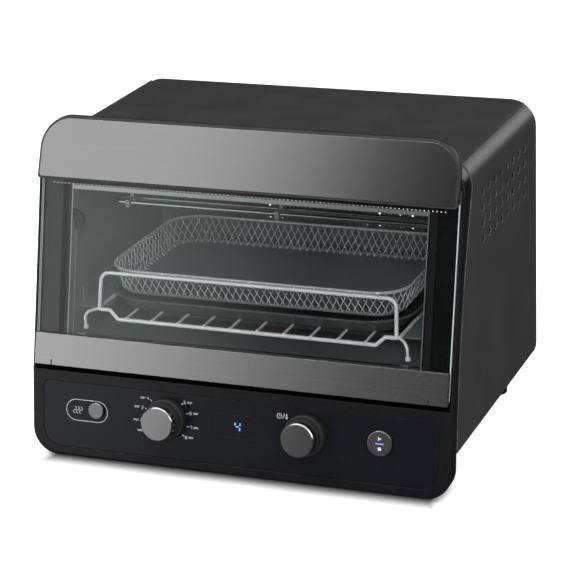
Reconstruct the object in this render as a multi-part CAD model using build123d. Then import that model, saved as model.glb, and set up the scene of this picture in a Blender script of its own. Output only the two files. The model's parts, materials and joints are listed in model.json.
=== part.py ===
"""Countertop toaster oven with a drop-down glass door, two knobs and two push buttons.

Millimetres. X runs to the right, Y to the back and Z up. While the pieces are made, Y is
measured from the fascia's lower front lip and Z from the worktop. Just before export the
whole oven moves along Y, so that the origin is at the middle of its footprint.
"""
from build123d import *
import math
import os

# ---------------------------------------------------------------- driving dimensions
SKIN_HALF = 213.5            # fascia skin, half its width
CASING_HALF = 214.0          # casing, half its width
CASING_TOP = 305.0
CASING_UNDERSIDE = 44.0      # lower edge of the side panels
CASING_BACK = 300.0
CORNER_TOP = 26.0            # rounding of the casing's long top corners
CORNER_BOTTOM = 26.0         # rounding of the fascia's bottom corners
SHEET = 1.2                  # casing sheet metal
LAP_ANGLE = 58.0             # where the top panel laps the side panel, on the corner's arc

FASCIA_BOTTOM = 3.0
CONTROL_TOP = 87.0
CONTROL_LEAN = 8.25          # degrees from the vertical
PANEL_HALF = 201.0           # inset control panel
PANEL_LOW = 10.0             # heights on the control face start at the fascia's lower lip
PANEL_HIGH = 74.5
KNOB_X = 71.0
BUTTON_X = 144.4
CONTROL_HEIGHT = 49.0
STEAM_BUTTON_R = 8.0
START_BUTTON_R = 12.2
BUTTON_PROUD = 2.5
PANEL_MIDDLE = (PANEL_LOW + PANEL_HIGH) / 2

GLASS_LEAN = 13.7            # degrees from the vertical
GLASS_FOOT_Y = 19.5          # front of the glass where it comes out of the strip
STRIP_TOP = 123.0
STRIP_BOTTOM = 93.7
GLASS = 4.0                  # thickness, square to its face
GLASS_BACK = GLASS / math.cos(math.radians(GLASS_LEAN))
DOOR_HALF = 209.0
GLASS_BOTTOM = 97.0
GLASS_TOP = 283.0
PLATE_BOTTOM = 273.0
PLATE_TOP = 325.4
PLATE_BOTTOM_Y = 45.5
PLATE_TOP_Y = 66.4
HINGE_Y = 25.0
HINGE_Z = 102.0
PIN_R = 2.5

CAVITY_HALF = 178.0
CAVITY_BACK = 256.0
CAVITY_FLOOR = 107.0
CAVITY_CEILING = 262.0
OPENING_BOTTOM = 118.0       # clear opening of the cavity
OPENING_TOP = 257.8
LINER = 1.0                  # cavity sheet metal

# The seam between fascia and casing is an arc in side view.
SEAM_RADIUS = 920.0
SEAM_CENTRE_Y = 934.4
SEAM_CENTRE_Z = -56.0
SEAM_GAP = 0.5

RACK_HALF = 153.5            # centre line of a side rail
RACK_FRONT = 40.0
RACK_BACK = 240.0
RACK_LEVEL = 135.0           # height of the lower front rail
RAIL_LEVEL = 143.0           # height of the side rails
RAIL_R = 2.0
CROSS_WIRES = 10
CROSS_PITCH = 27.0
CROSS_R = 1.4
GUARD_TOP = 179.0            # raised front bar of the rack
GUARD_R = 1.9
HOOK_X = 163.5
PAN_BOTTOM = RACK_LEVEL + 2.6 + CROSS_R + 0.2
PAN_SHEET = 1.0
PAN_HALF = 145.0             # the pan's flat bottom
PAN_FRONT = 61.0
PAN_BACK = 238.0
BASKET_RIM = 179.0           # height of the basket's rim wire
BASKET_RIM_R = 1.6
BASKET_HALF = 151.0          # centre line of the rim wire
BASKET_FRONT = 57.0
BASKET_BACK = 236.0
BASKET_CORNER = 33.0
BASKET_FLOOR = 153.3         # underside of the basket
BASKET_FLARE = 4.5
BASKET_SKIN = 1.0

LEFT_AND_RIGHT = (-1, 1)
FAR = 400.0                  # longer than any piece, for cutting tools

os.makedirs("parts", exist_ok=True)


# ---------------------------------------------------------------- geometry helpers
def lean(degrees):
    """How far back a leaning face goes for each millimetre of height."""
    return math.tan(math.radians(degrees))


def control_y(z):
    return (z - FASCIA_BOTTOM) * lean(CONTROL_LEAN)


def glass_y(z, behind=0.0):
    """Front of the glass at height z, or a plane parallel to it further back."""
    return GLASS_FOOT_Y + (z - STRIP_TOP) * lean(GLASS_LEAN) + behind


def plate_y(z, behind=0.0):
    slope = (PLATE_TOP_Y - PLATE_BOTTOM_Y) / (PLATE_TOP - PLATE_BOTTOM)
    return PLATE_BOTTOM_Y + (z - PLATE_BOTTOM) * slope + behind


def box(x, y, z):
    """A block from three (low, high) pairs."""
    return Pos(x[0], y[0], z[0]) * Box(
        x[1] - x[0], y[1] - y[0], z[1] - z[0], align=(Align.MIN, Align.MIN, Align.MIN)
    )


def side_slab(points, x_low, x_high):
    """A side-view outline of (y, z) points, as thick as from x_low to x_high."""
    outline = make_face(Polyline([(0, y, z) for y, z in points], close=True))
    return Pos(x_low, 0, 0) * extrude(outline, amount=x_high - x_low, dir=(1, 0, 0))


def leaning_slab(x_low, x_high, z_low, z_high, front, back):
    """A slab parallel to the glass, between two distances behind its front face."""
    return side_slab(
        [
            (glass_y(z_low, front), z_low),
            (glass_y(z_low, back), z_low),
            (glass_y(z_high, back), z_high),
            (glass_y(z_high, front), z_high),
        ],
        x_low,
        x_high,
    )


def front_outline(half, z_low, z_high, r_top, r_bottom):
    """A front-view rounded rectangle, drawn with its local y as height."""
    outline = Pos(0, (z_low + z_high) / 2) * Rectangle(2 * half, z_high - z_low)
    corners = outline.vertices().group_by(Axis.Y)
    if r_bottom > 0:
        outline = fillet(corners[0], r_bottom)
        corners = outline.vertices().sort_by(Axis.Y)[-2:]
    else:
        corners = corners[-1]
    return fillet(corners, r_top) if r_top > 0 else outline


def front_prism(outline, y_low, y_high):
    plane = Plane(origin=(0, y_high, 0), x_dir=(1, 0, 0), z_dir=(0, -1, 0))
    return extrude(plane * outline, amount=y_high - y_low)


def rod_x(x_low, x_high, y, z, radius):
    plane = Plane(origin=(x_low, y, z), x_dir=(0, 1, 0), z_dir=(1, 0, 0))
    return extrude(plane * Circle(radius), amount=x_high - x_low)


def rod_y(x, y_low, y_high, z, radius):
    plane = Plane(origin=(x, y_low, z), x_dir=(1, 0, 0), z_dir=(0, 1, 0))
    return extrude(plane * Circle(radius), amount=y_high - y_low)


def rod_z(x, y, z_low, z_high, radius):
    return extrude(Pos(x, y, z_low) * Circle(radius), amount=z_high - z_low)


def wire(points, radius, bends):
    """A bent round wire through the points, with one bend radius or a list of them."""
    path = FilletPolyline(*points, radius=bends) if len(points) > 2 else Line(*points)
    section = Plane(origin=path @ 0, z_dir=path % 0) * Circle(radius)
    return sweep(section, path=path)


def join(pieces):
    """One shape of all the pieces, fused where they meet."""
    whole = pieces[0]
    for piece in pieces[1:]:
        whole = whole + piece
    return whole


def group(pieces):
    """Separate solids kept together in one node."""
    return Compound(children=[solid for piece in pieces for solid in piece.solids()])


def casing_side():
    """Everything behind the seam: the room that the casing panels may fill."""
    return rod_x(-FAR, FAR, SEAM_CENTRE_Y, SEAM_CENTRE_Z, SEAM_RADIUS - SEAM_GAP)


def control_plane(x, height, out=0.0):
    """A plane on the control face, looking out of it."""
    angle = math.radians(CONTROL_LEAN)
    normal = Vector(0, -math.cos(angle), math.sin(angle))
    along = Vector(0, math.sin(angle), math.cos(angle))
    foot = Vector(x, 0, FASCIA_BOTTOM)
    return Plane(origin=foot + along * height + normal * out, x_dir=(1, 0, 0), z_dir=normal)


def on_control_face(sketch, x, height, out_low, out_high):
    """A sketch raised from the control face, between two distances out of it."""
    return extrude(control_plane(x, height, out_low) * sketch, amount=out_high - out_low)


def panel_outline(margin=0.0):
    """Inset control panel, centred on its own middle; a margin makes it larger."""
    width = 2 * (PANEL_HALF + margin)
    depth = PANEL_HIGH - PANEL_LOW + 2 * margin
    outline = Rectangle(width, depth)
    low, high = outline.vertices().group_by(Axis.Y)
    outline = fillet(low, 18 + margin)
    return fillet(outline.vertices().sort_by(Axis.Y)[-2:], 6 + margin)


# ---------------------------------------------------------------- fascia and controls
FACE_SHEET = 3.0             # moulded wall of the fascia
TROUGH_BACK = 38.5           # the trough that the door's lower edge turns in
TROUGH_FLOOR = 82.0
FACE_BEHIND_GLASS = 6.5      # sealing face, behind the front of the glass


def front_frame():
    """The one-piece moulded fascia: outer skin, control face, hinge trough, sealing face."""
    skin_top = CASING_TOP - 0.5
    outline = front_outline(SKIN_HALF, FASCIA_BOTTOM, skin_top, CORNER_TOP, CORNER_BOTTOM)
    inner = front_outline(
        SKIN_HALF - FACE_SHEET,
        FASCIA_BOTTOM + FACE_SHEET,
        skin_top - FACE_SHEET,
        CORNER_TOP - FACE_SHEET,
        CORNER_BOTTOM - FACE_SHEET,
    )
    block = front_prism(outline, -30, 130)
    block -= rod_x(-FAR, FAR, SEAM_CENTRE_Y, SEAM_CENTRE_Z, SEAM_RADIUS)
    skin_behind_glass = control_y(CONTROL_TOP) - glass_y(CONTROL_TOP)
    in_front = [
        (-60, -20),
        (control_y(-20), -20),
        (control_y(CONTROL_TOP), CONTROL_TOP),
        (glass_y(FAR, skin_behind_glass), FAR),
        (-60, FAR),
    ]
    block -= side_slab(in_front, -FAR, FAR)
    front_faces = [
        face
        for face in block.faces().filter_by(GeomType.PLANE)
        if face.normal_at().Y < -0.9 and face.area > 1000
    ]
    rim = [
        edge
        for face in front_faces
        for edge in face.edges()
        if abs(edge.center().X) > SKIN_HALF - CORNER_TOP or edge.center().Z < FASCIA_BOTTOM + 1
    ]
    block = fillet(rim, 2.6)
    skin = block - front_prism(inner, -60, 200)

    reach = SKIN_HALF - FACE_SHEET + 0.5
    face_back = FACE_BEHIND_GLASS + FACE_SHEET
    control_wall = [
        (control_y(0), 0),
        (control_y(CONTROL_TOP), CONTROL_TOP),
        (control_y(CONTROL_TOP) + FACE_SHEET, CONTROL_TOP - 3.5),
        (control_y(0) + FACE_SHEET, 0),
    ]
    walls = [
        side_slab(control_wall, -reach, reach),
        box((-reach, reach), (12.0, TROUGH_BACK + 3), (TROUGH_FLOOR - 3, TROUGH_FLOOR)),
        box((-reach, reach), (TROUGH_BACK, TROUGH_BACK + 3), (TROUGH_FLOOR - 3, OPENING_BOTTOM)),
        box((-reach, reach), (24.5, TROUGH_BACK + 3), (OPENING_BOTTOM - 3, OPENING_BOTTOM)),
        leaning_slab(-reach, reach, OPENING_BOTTOM - 3, FAR, FACE_BEHIND_GLASS, face_back),
    ]
    walls = join(walls) & front_prism(inner, -60, 200)
    behind_control = side_slab(
        [(-60, 0), (-60, CONTROL_TOP), (control_y(CONTROL_TOP), CONTROL_TOP), (control_y(0), 0)],
        -FAR,
        FAR,
    )
    frame = skin + (walls - behind_control)
    frame -= box((-179.6, 179.6), (0, 130), (OPENING_BOTTOM - 1.4, CAVITY_CEILING - 0.1))
    groove = 0.6
    frame -= on_control_face(panel_outline(groove), 0, PANEL_MIDDLE, -1.8, 10)
    frame -= on_control_face(panel_outline(-5), 0, PANEL_MIDDLE, -10, 10)
    for x in hinge_bracket_centres():
        frame -= box((x - 1.1, x + 1.1), (TROUGH_BACK - 1, TROUGH_BACK + 4), (96, 108))
    return frame


def control_panel():
    """Inset panel with holes for the shafts and buttons and a seat for the display lens."""
    panel = on_control_face(panel_outline(), 0, PANEL_MIDDLE, -1.8, -0.3)
    for x in (-KNOB_X, KNOB_X):
        panel -= on_control_face(Circle(4.2), x, CONTROL_HEIGHT, -5, 5)
    panel -= on_control_face(Circle(STEAM_BUTTON_R + 0.4), -BUTTON_X, CONTROL_HEIGHT, -5, 5)
    panel -= on_control_face(Circle(START_BUTTON_R + 0.4), BUTTON_X, CONTROL_HEIGHT, -5, 5)
    panel -= on_control_face(RectangleRounded(46.1, 22.1, 2.05), 0, CONTROL_HEIGHT, -5, 5)
    return panel


def display_lens():
    return on_control_face(RectangleRounded(46, 22, 2), 0, CONTROL_HEIGHT, -1.8, -0.3)


def display_module():
    """LED display block, between the lens and the control board."""
    return on_control_face(Rectangle(42, 18), 0, CONTROL_HEIGHT, -13.8, -2.0)


def control_board():
    board = on_control_face(Rectangle(350, 40), 0, CONTROL_HEIGHT - 3, -15.6, -14.0)
    for x in (-KNOB_X, KNOB_X):
        board -= on_control_face(Circle(2.0), x, CONTROL_HEIGHT, -20, -10)
    return board


def rotary_encoders():
    """Two encoder bodies, each bored for its knob's shaft."""
    encoders = []
    for x in (-KNOB_X, KNOB_X):
        body = on_control_face(RectangleRounded(14, 14, 1), x, CONTROL_HEIGHT, -13.9, -6.0)
        body += on_control_face(Circle(4.0), x, CONTROL_HEIGHT, -6.0, -2.0)
        body -= on_control_face(Circle(3.05), x, CONTROL_HEIGHT, -11.0, 0)
        encoders.append(body)
    return group(encoders)


def button_switches():
    switches = []
    for x in (-BUTTON_X, BUTTON_X):
        body = on_control_face(RectangleRounded(12, 12, 0.8), x, CONTROL_HEIGHT, -13.9, -9.5)
        body += on_control_face(Circle(3.2), x, CONTROL_HEIGHT, -9.5, -8.2)
        switches.append(body)
    return group(switches)


def knob_skirt(x):
    """Black rubber-feel skirt of a knob, with a shallow recess for the metal cap."""
    skirt = on_control_face(Circle(20.2), x, CONTROL_HEIGHT, 0.3, 7.5)
    skirt = fillet(skirt.edges().group_by(Axis.Y)[0], 1.6)
    skirt += on_control_face(Circle(17.6), x, CONTROL_HEIGHT, 7.0, 13.5)
    return skirt - on_control_face(Circle(3.0), x, CONTROL_HEIGHT, -5, 13.0)


def knob_cap(x):
    """Turned metal cap with a chamfered rim."""
    cap = on_control_face(Circle(16.6), x, CONTROL_HEIGHT, 13.5, 24.0)
    return chamfer(cap.edges().group_by(Axis.Y)[0], 1.1)


def knob_shaft(x):
    return on_control_face(Circle(3.0), x, CONTROL_HEIGHT, -10.5, 13.0)


def push_button(x, radius):
    """Cap and stem of a button; it travels inwards until its stem meets the switch."""
    cap = on_control_face(Circle(radius), x, CONTROL_HEIGHT, -1.6, BUTTON_PROUD)
    cap = fillet(cap.edges().group_by(Axis.Y)[0], 0.7)
    return cap + on_control_face(Circle(2.6), x, CONTROL_HEIGHT, -6.6, -1.6)


# ---------------------------------------------------------------- casing
VENT_R = 4.3
VENT_COLUMNS = 8
VENT_ROWS = 4
VENT_PITCH_Y = 20.4
VENT_PITCH_Z = 15.3
VENT_LAST_Y = 256.4
VENT_TOP_Z = 268.0
GLAND_X = 165.0
GLAND_Z = 72.0
TUB_HALF = 190.0
TUB_BOTTOM = 14.0
TUB_FRONT = 24.0
TUB_BACK = 290.0
TUB_CORNER = 14.0
FOOT_X = 178.0
FOOT_Y = (44.0, 276.0)


def lap_point(radius):
    """Where the top panel ends on the corner's arc, as (x, z) on the right-hand side."""
    angle = math.radians(LAP_ANGLE)
    middle_x = CASING_HALF - CORNER_TOP
    middle_z = CASING_TOP - CORNER_TOP
    return middle_x + radius * math.cos(angle), middle_z + radius * math.sin(angle)


def casing_shell(y_low, y_high):
    """The folded sheet of the sides and top, before it is parted into panels."""
    outer = front_outline(CASING_HALF, CASING_UNDERSIDE, CASING_TOP, CORNER_TOP, 0)
    inner = front_outline(
        CASING_HALF - SHEET, CASING_UNDERSIDE - 5, CASING_TOP - SHEET, CORNER_TOP - SHEET, 0
    )
    return front_prism(outer, y_low, y_high) - front_prism(inner, y_low - 1, y_high + 1)


def above_lap(extra_degrees=0.0):
    """Wedge-shaped room of the top panel, over the lap angles of both corners."""
    angle = math.radians(LAP_ANGLE + extra_degrees)
    middle_x = CASING_HALF - CORNER_TOP
    middle_z = CASING_TOP - CORNER_TOP
    out_x = middle_x + 80 * math.cos(angle)
    out_z = middle_z + 80 * math.sin(angle)
    points = [(-middle_x, middle_z), (middle_x, middle_z), (out_x, out_z), (-out_x, out_z)]
    return front_prism(make_face(Polyline(points, close=True)), -50, FAR)


def side_panel(side):
    panel = casing_shell(0, CASING_BACK) & casing_side()
    panel -= above_lap()
    panel &= box(sorted((0, side * FAR)), (-50, FAR), (0, FAR))
    panel -= vent_holes(side)
    rear_corner = [
        edge
        for edge in panel.edges().filter_by(Axis.X)
        if edge.center().Y > CASING_BACK - 1 and edge.center().Z < CASING_UNDERSIDE + 1
    ]
    return fillet(rear_corner, 8)


def vent_holes(side):
    """Cutters of the vent grid: round holes with a flared rim on the outside."""
    flare = 0.7
    through = Circle(VENT_R - flare)
    mouth = Circle(VENT_R)
    cutters = []
    for column in range(VENT_COLUMNS):
        for row in range(VENT_ROWS):
            y = VENT_LAST_Y - column * VENT_PITCH_Y
            z = VENT_TOP_Z - row * VENT_PITCH_Z
            outside = Plane(origin=(side * CASING_HALF, y, z), z_dir=(side, 0, 0))
            cutters.append(extrude(outside.offset(-3) * through, amount=4))
            cutters.append(loft([outside.offset(-flare) * through, outside * mouth]))
    return cutters


def top_panel():
    """Flat top with curved edges that end in a small raised bead over each side panel."""
    panel = casing_shell(0, CASING_BACK) & above_lap(0.6)
    for side in LEFT_AND_RIGHT:
        bead_x, bead_z = lap_point(CORNER_TOP - 0.1)
        panel += rod_y(side * bead_x, 0, CASING_BACK, bead_z + 0.45, 1.1) & above_lap(0.6)
    return panel & casing_side()


def rear_panel():
    edge = SHEET + 0.3
    outline = front_outline(
        CASING_HALF - edge, CASING_UNDERSIDE + 1, CASING_TOP - edge, CORNER_TOP - edge, 2
    )
    panel = front_prism(outline, CASING_BACK - 2.2, CASING_BACK - 1.0)
    slot = SlotOverall(34, 4, rotation=90)
    slots = Pos(0, 190) * GridLocations(12, 44, 15, 3) * slot
    panel -= front_prism(Sketch(children=slots), CASING_BACK - 10, CASING_BACK + 10)
    panel -= rod_y(GLAND_X, CASING_BACK - 10, CASING_BACK + 10, GLAND_Z, 8.1)
    for x, z in rear_screw_places():
        panel -= rod_y(x, CASING_BACK - 10, CASING_BACK + 10, z, 1.8)
    return panel


def rear_screw_places():
    low_row = [(x, CASING_UNDERSIDE + 10) for x in (-196, -70, 70, 196)]
    high_row = [(x, CASING_TOP - 14) for x in (-190, -70, 70, 190)]
    return low_row + high_row


def rear_screws():
    screws = []
    for x, z in rear_screw_places():
        head = rod_y(x, CASING_BACK - 1.0, CASING_BACK + 0.6, z, 3.4)
        head = fillet(head.edges().group_by(Axis.Y)[-1], 0.8)
        cross = Rectangle(4.0, 0.8) + Rectangle(0.8, 4.0)
        plane = Plane(origin=(x, CASING_BACK + 0.6, z), x_dir=(1, 0, 0), z_dir=(0, -1, 0))
        head -= extrude(plane * cross, amount=0.8)
        screws.append(head + rod_y(x, CASING_BACK - 9, CASING_BACK - 1.0, z, 1.6))
    return group(screws)


def cord_gland():
    """Flanged bush in the rear panel where a mains lead enters."""
    bush = rod_y(GLAND_X, CASING_BACK - 8, CASING_BACK - 1.0, GLAND_Z, 8.0)
    bush += rod_y(GLAND_X, CASING_BACK - 1.0, CASING_BACK + 1.0, GLAND_Z, 11.0)
    bush += rod_y(GLAND_X, CASING_BACK - 5, CASING_BACK - 2.3, GLAND_Z, 9.6)
    bush = fillet(bush.edges().group_by(Axis.Y)[-1], 0.8)
    return bush - rod_y(GLAND_X, CASING_BACK - 20, CASING_BACK + 20, GLAND_Z, 4.0)


def base_pan():
    """Bottom pan: a tub that holds the electronics, with a flange out to the side panels."""
    outer = box((-TUB_HALF, TUB_HALF), (TUB_FRONT, TUB_BACK), (TUB_BOTTOM, CASING_UNDERSIDE + 1))
    outer = fillet(outer.edges().filter_by(Axis.Z), TUB_CORNER)
    hollow = box(
        (-TUB_HALF + SHEET, TUB_HALF - SHEET),
        (TUB_FRONT + SHEET, TUB_BACK - SHEET),
        (TUB_BOTTOM + SHEET, CASING_UNDERSIDE + 5),
    )
    hollow = fillet(hollow.edges().filter_by(Axis.Z), TUB_CORNER - SHEET)
    flange_half = CASING_HALF - SHEET - 0.3
    flange = box(
        (-flange_half, flange_half),
        (TUB_FRONT, CASING_BACK - 2.5),
        (CASING_UNDERSIDE, CASING_UNDERSIDE + 1),
    )
    pan = outer + flange - hollow
    slots = Pos(0, 160) * GridLocations(11, 50, 21, 2) * SlotOverall(36, 4, rotation=90)
    pan -= Pos(0, 0, TUB_BOTTOM - 2) * extrude(Sketch(children=slots), amount=6)
    for x, y in foot_places():
        pan -= rod_z(x, y, TUB_BOTTOM - 5, TUB_BOTTOM + 5, 1.8)
    return pan


def foot_places():
    return [(side * FOOT_X, y) for side in LEFT_AND_RIGHT for y in FOOT_Y]


def feet():
    """Four moulded feet with a rounded sole edge and a screw recess."""
    result = []
    for x, y in foot_places():
        foot = rod_z(x, y, 0, TUB_BOTTOM, 11)
        foot = fillet(foot.edges().group_by(Axis.Z)[0], 2)
        foot -= rod_z(x, y, -1, 8, 4)
        result.append(foot - rod_z(x, y, 0, 20, 1.8))
    return group(result)


def foot_screws():
    return group(
        [
            rod_z(x, y, 5.4, 8.0, 3.4) + rod_z(x, y, 8.0, TUB_BOTTOM + 6, 1.6)
            for x, y in foot_places()
        ]
    )


# ---------------------------------------------------------------- cavity
LINER_FRONT = 17.0           # the liner starts this far behind the front of the glass
ELEMENT_Z = 240.0
LOWER_ELEMENT_Z = 122.0
PROBE_Y = 150.0
PROBE_Z = 228.0
FAN_Z = 206.0
FAN_SHAFT_R = 2.5
FAN_BLADES = 8


def cavity_flange():
    """Bright steel collar that lines the opening."""
    half = 179.4
    front = FACE_BEHIND_GLASS - 0.7
    back = LINER_FRONT - 0.2
    outer = leaning_slab(-half, half, OPENING_BOTTOM - 1.2, CAVITY_CEILING - 0.3, front, back)
    inner = box((-half + LINER, half - LINER), (0, 130), (OPENING_BOTTOM, OPENING_TOP))
    return outer - inner


def liner_side(side):
    """Side wall of the cavity, with the element and probe holes in the right one."""
    points = [
        (glass_y(OPENING_BOTTOM, LINER_FRONT + 8), CAVITY_FLOOR),
        (glass_y(OPENING_BOTTOM, LINER_FRONT + 8), OPENING_BOTTOM),
        (glass_y(OPENING_BOTTOM, LINER_FRONT), OPENING_BOTTOM),
        (glass_y(CAVITY_CEILING, LINER_FRONT), CAVITY_CEILING),
        (CAVITY_BACK, CAVITY_CEILING),
        (CAVITY_BACK, CAVITY_FLOOR),
    ]
    wall = side_slab(points, *sorted((side * CAVITY_HALF, side * (CAVITY_HALF + LINER))))
    if side > 0:
        for y in element_legs():
            wall -= rod_x(100, 250, y, ELEMENT_Z, 2.6)
        for y in lower_element_legs():
            wall -= rod_x(100, 250, y, LOWER_ELEMENT_Z, 3.4)
        wall -= rod_x(100, 250, PROBE_Y, PROBE_Z, 2.3)
    return wall


def cavity_ceiling():
    half = CAVITY_HALF + LINER
    front = glass_y(CAVITY_CEILING, LINER_FRONT)
    return box((-half, half), (front, CAVITY_BACK), (CAVITY_CEILING, CAVITY_CEILING + LINER))


def cavity_floor():
    half = CAVITY_HALF + LINER
    return box((-half, half), (TROUGH_BACK + 3, CAVITY_BACK), (CAVITY_FLOOR - LINER, CAVITY_FLOOR))


def cavity_back():
    """Rear wall with a wide field of upright slots in front of the fan."""
    half = CAVITY_HALF + LINER
    wall = box(
        (-half, half),
        (CAVITY_BACK, CAVITY_BACK + LINER),
        (CAVITY_FLOOR - LINER, CAVITY_CEILING + LINER),
    )
    slots = Pos(0, FAN_Z) * GridLocations(7, 9, 43, 7) * SlotOverall(6, 2.4, rotation=90)
    return wall - front_prism(Sketch(children=slots), CAVITY_BACK - 5, CAVITY_BACK + 5)


def crumb_tray():
    """Shallow sheet tray that lies on the cavity floor below the lower element."""
    floor = CAVITY_FLOOR + 0.2
    outer = box((-170, 170), (46, 250), (floor, floor + 6))
    outer = fillet(outer.edges().filter_by(Axis.Z), 5)
    hollow = box((-169, 169), (47, 249), (floor + 1, floor + 9))
    return outer - fillet(hollow.edges().filter_by(Axis.Z), 4)


def rack_guide(side):
    """Folded ledge on a side wall that carries the rack's side rail."""
    ledge_z = RAIL_LEVEL - 2.0 - 0.3
    upright_x = sorted((side * (CAVITY_HALF - 1), side * CAVITY_HALF))
    upright = box(upright_x, (62, 246), (ledge_z - 1, ledge_z + 16))
    ledge = box(sorted((side * 149.5, side * CAVITY_HALF)), (52, 246), (ledge_z - 1, ledge_z))
    return upright + ledge


def element_legs():
    return (83.0, 99.0)


def lower_element_legs():
    return (100.0, 190.0)


def hairpin(legs, z, radius, turn_x, end_x):
    """U-shaped heating tube with both legs leaving through the right-hand wall."""
    points = [(end_x, legs[0], z), (turn_x, legs[0], z), (turn_x, legs[1], z), (end_x, legs[1], z)]
    return wire(points, radius, (legs[1] - legs[0]) / 2 - 0.1)


def upper_element():
    return hairpin(element_legs(), ELEMENT_Z, 2.3, -148, 190)


def lower_element():
    return hairpin(lower_element_legs(), LOWER_ELEMENT_Z, 3.1, -150, 190)


def element_clips():
    """Wire-thin steel hangers that hold the upper element under the ceiling."""
    first, second = element_legs()
    clips = []
    for middle_x in (-132.0, 22.0):
        width = (middle_x - 2, middle_x + 2)
        strap = box(width, (first - 4.5, second + 4.5), (ELEMENT_Z - 3.9, ELEMENT_Z + 3.9))
        for y in element_legs():
            strap -= rod_x(*width, y, ELEMENT_Z, 2.32)
        strap -= box(width, (first + 4, second - 4), (ELEMENT_Z - 5, ELEMENT_Z + 2.9))
        middle = (first + second) / 2
        hanger_y = (middle - 0.6, middle + 0.6)
        hanger = box(width, hanger_y, (ELEMENT_Z + 3.0, CAVITY_CEILING))
        clips.append(strap + hanger)
    return group(clips)


def element_terminals():
    """Ceramic end blocks of both elements, outside the right-hand wall."""
    places = [(y, ELEMENT_Z, 2.32) for y in element_legs()]
    places += [(y, LOWER_ELEMENT_Z, 3.12) for y in lower_element_legs()]
    blocks = []
    for y, z, radius in places:
        block = rod_x(CAVITY_HALF + LINER, 192, y, z, 6.0)
        blocks.append(block - rod_x(170, 190.1, y, z, radius))
    return group(blocks)


def temperature_probe():
    probe = rod_x(150, 196, PROBE_Y, PROBE_Z, 2.2)
    return probe + rod_x(CAVITY_HALF + LINER, 183, PROBE_Y, PROBE_Z, 5)


def fan_motor():
    """Flat motor on a cross bracket behind the rear wall of the cavity."""
    motor = rod_y(0, 275, 292, FAN_Z, 27)
    motor = chamfer(motor.edges().group_by(Axis.Y)[-1], 2)
    bracket = box((-72, 72), (273.5, 275), (FAN_Z - 8, FAN_Z + 8))
    for side in LEFT_AND_RIGHT:
        post_x = sorted((side * 66, side * 72))
        bracket += box(post_x, (CAVITY_BACK + LINER, 274), (FAN_Z - 8, FAN_Z + 8))
    return motor + bracket - rod_y(0, 250, 286, FAN_Z, FAN_SHAFT_R + 0.05)


def convection_fan():
    """Hub, shaft, back disc and straight radial blades."""
    fan = rod_y(0, 259.5, 270.5, FAN_Z, 8)
    fan += rod_y(0, 270.0, 285.5, FAN_Z, FAN_SHAFT_R)
    fan += rod_y(0, 269.5, 270.5, FAN_Z, 50)
    for blade in range(FAN_BLADES):
        plate = box((6, 48), (260.5, 270.0), (-0.6, 0.6))
        fan += Pos(0, 0, FAN_Z) * Rot(0, 360 / FAN_BLADES * blade, 0) * plate
    return fan


def power_board():
    """Power electronics in the tub: board with relays, a transformer and a capacitor."""
    level = TUB_BOTTOM + SHEET + 8
    board = box((40, 170), (70, 220), (level, level + 1.6))
    for y in (95, 120, 145):
        board += box((55, 75), (y, y + 16), (level + 1.6, level + 17))
    board += box((110, 150), (90, 125), (level + 1.6, level + 26))
    board += rod_z(130, 170, level + 1.6, level + 24, 9)
    for x in (46, 164):
        for y in (76, 214):
            board += rod_z(x, y, TUB_BOTTOM + SHEET, level, 3)
    return board


# ---------------------------------------------------------------- hinges and door switch
BRACKET_X = 203.0
ARM_X = (188.0, 200.0)
SWITCH_Z = 228.0
SWITCH_HALF = CAVITY_HALF + 0.4


def hinge_bracket_centres():
    return (-BRACKET_X, BRACKET_X)


def hinge_brackets():
    """Two steel ears on the fascia's trough wall, one for each hinge pin."""
    ears = []
    for x in hinge_bracket_centres():
        ear = box((x - 1, x + 1), (HINGE_Y, TROUGH_BACK + 8), (HINGE_Z - 4.5, HINGE_Z + 4.5))
        ear += rod_x(x - 1, x + 1, HINGE_Y, HINGE_Z, 4.5)
        ear -= rod_x(x - 5, x + 5, HINGE_Y, HINGE_Z, PIN_R)
        foot_x = sorted((x - math.copysign(1, x), x - math.copysign(14, x)))
        ear += box(foot_x, (TROUGH_BACK + 3, TROUGH_BACK + 4.5), (HINGE_Z - 4.5, HINGE_Z + 4.5))
        ears.append(ear)
    return group(ears)


def hinge_pins():
    pins = []
    for side in LEFT_AND_RIGHT:
        inner = side * (ARM_X[0] + 1)
        outer = side * (BRACKET_X + 1)
        head = side * (BRACKET_X + 2.2)
        pin = rod_x(*sorted((inner, outer)), HINGE_Y, HINGE_Z, PIN_R)
        pins.append(pin + rod_x(*sorted((outer, head)), HINGE_Y, HINGE_Z, 3.8))
    return group(pins)


def hinge_arm(side):
    """Knuckle and lug that join the door's lower rail to the hinge pin."""
    x_low, x_high = sorted((side * ARM_X[0], side * ARM_X[1]))
    z_low, z_high = HINGE_Z - 4, HINGE_Z + 12
    back = HINGE_Y + 2
    lug = side_slab(
        [
            (glass_y(z_low, GLASS_BACK), z_low),
            (glass_y(z_high, GLASS_BACK), z_high),
            (glass_y(z_high, GLASS_BACK + 2.5), z_high),
            (back, HINGE_Z + 3.5),
            (back, z_low),
        ],
        x_low,
        x_high,
    )
    arm = lug + rod_x(x_low, x_high, HINGE_Y, HINGE_Z, 5)
    return arm - rod_x(-FAR, FAR, HINGE_Y, HINGE_Z, PIN_R + 0.05)


def door_switch_body():
    """Rounded switch housing on the left edge of the opening, bored for its plunger."""
    y = glass_y(SWITCH_Z, FACE_BEHIND_GLASS + FACE_SHEET)
    housing = rod_y(-SWITCH_HALF, y, y + 4, SWITCH_Z, 10)
    housing &= box((-SWITCH_HALF, 0), (0, FAR), (0, FAR))
    return housing - rod_y(-SWITCH_HALF + 5, 0, FAR, SWITCH_Z, 2.1)


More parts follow.
